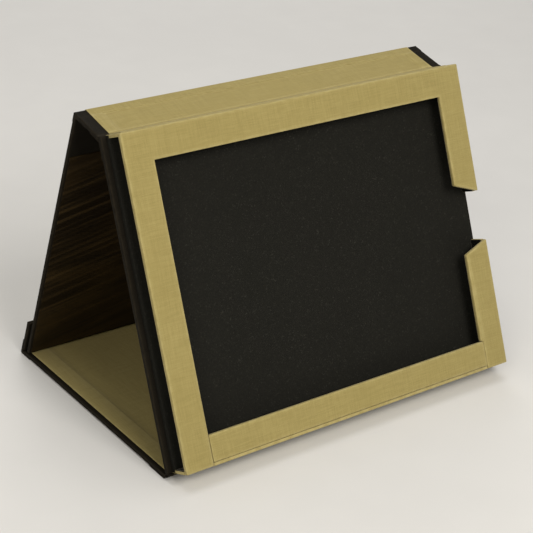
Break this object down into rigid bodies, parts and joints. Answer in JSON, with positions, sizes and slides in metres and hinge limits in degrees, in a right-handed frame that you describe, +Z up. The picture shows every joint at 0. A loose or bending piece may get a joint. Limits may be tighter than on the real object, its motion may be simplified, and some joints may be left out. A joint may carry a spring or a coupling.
{
  "type": "tablet case",
  "caption": "Cloth-bound folding tablet case with a framed tray, standing as an A-frame on its hinged covers",
  "frame": {"origin": "centre of the footprint of the standing case, on the surface it stands on", "axes": "+X to the right of someone facing the window, +Y away from them towards the front cover, which is the rear leg, +Z up"},
  "size_m": [0.2494, 0.182, 0.1851],
  "materials": {
    "khaki_linen": "matte linen bookcloth, khaki",
    "dark_bookcloth": "matte bookcloth, near-black brown",
    "walnut_veneer": "oiled dark walnut veneer",
    "grey_board": "binder's grey board",
    "black_liner": "black matte lining cloth"
  },
  "bodies": {
    "base": {"base_board": "grey_board", "base_cloth": "dark_bookcloth", "base_lining": "khaki_linen", "base_veneer": "walnut_veneer", "lip_hinge_cloth": "dark_bookcloth"},
    "lip": {"lip_board": "grey_board", "lip_cloth": "dark_bookcloth", "lip_lining": "khaki_linen"},
    "tray": {"back_board": "grey_board", "back_board_cloth": "dark_bookcloth", "tray_floor_board": "grey_board", "tray_floor_liner": "black_liner", "tray_top_wall": "grey_board", "tray_top_wall_cloth": "khaki_linen", "tray_bottom_wall": "grey_board", "tray_bottom_wall_cloth": "khaki_linen", "tray_upper_side_wall": "grey_board", "tray_upper_side_wall_cloth": "khaki_linen", "tray_lower_side_wall": "grey_board", "tray_lower_side_wall_cloth": "khaki_linen", "window_frame_board": "grey_board", "window_frame_cloth": "khaki_linen", "lower_stile_board": "grey_board", "lower_stile_cloth": "khaki_linen", "bottom_bar_board": "grey_board", "bottom_bar_cloth": "khaki_linen", "base_hinge_cloth": "dark_bookcloth"},
    "spine": {"spine_board": "grey_board", "spine_cloth": "dark_bookcloth", "spine_lining": "khaki_linen", "tray_hinge_cloth": "dark_bookcloth", "tray_hinge_lining": "khaki_linen"},
    "front_cover": {"front_cover_board": "grey_board", "front_cover_cloth": "dark_bookcloth", "front_cover_lining": "khaki_linen", "front_cover_veneer": "walnut_veneer", "cover_hinge_cloth": "dark_bookcloth", "cover_hinge_lining": "khaki_linen"}
  },
  "joints": [
    {"name": "tray_fold", "type": "hinge", "parent": "base", "child": "tray", "pos_m": [0, -0.07174, 0], "axis": [-1, 0, 0], "range_deg": [0, 66.5], "deforming": ["base_hinge_cloth"]},
    {"name": "spine_fold", "type": "hinge", "parent": "tray", "child": "spine", "pos_m": [0, 0.00172, 0.17822], "axis": [1, 0, 0], "range_deg": [0, 144.5], "deforming": ["tray_hinge_cloth", "tray_hinge_lining"]},
    {"name": "cover_fold", "type": "hinge", "parent": "spine", "child": "front_cover", "pos_m": [0, 0.02498, 0.17989], "axis": [1, 0, 0], "range_deg": [0, 174.5], "deforming": ["cover_hinge_cloth", "cover_hinge_lining"]},
    {"name": "lip_fold", "type": "hinge", "parent": "base", "child": "lip", "pos_m": [0, 0.09124, 0], "axis": [-1, 0, 0], "range_deg": [0, 107.5], "deforming": ["lip_hinge_cloth"]}
  ],
  "couplings": [
    {"joint": "spine_fold", "follows": "tray_fold", "ratio": 2.1729},
    {"joint": "lip_fold", "follows": "tray_fold", "ratio": 1.6165}
  ]
}
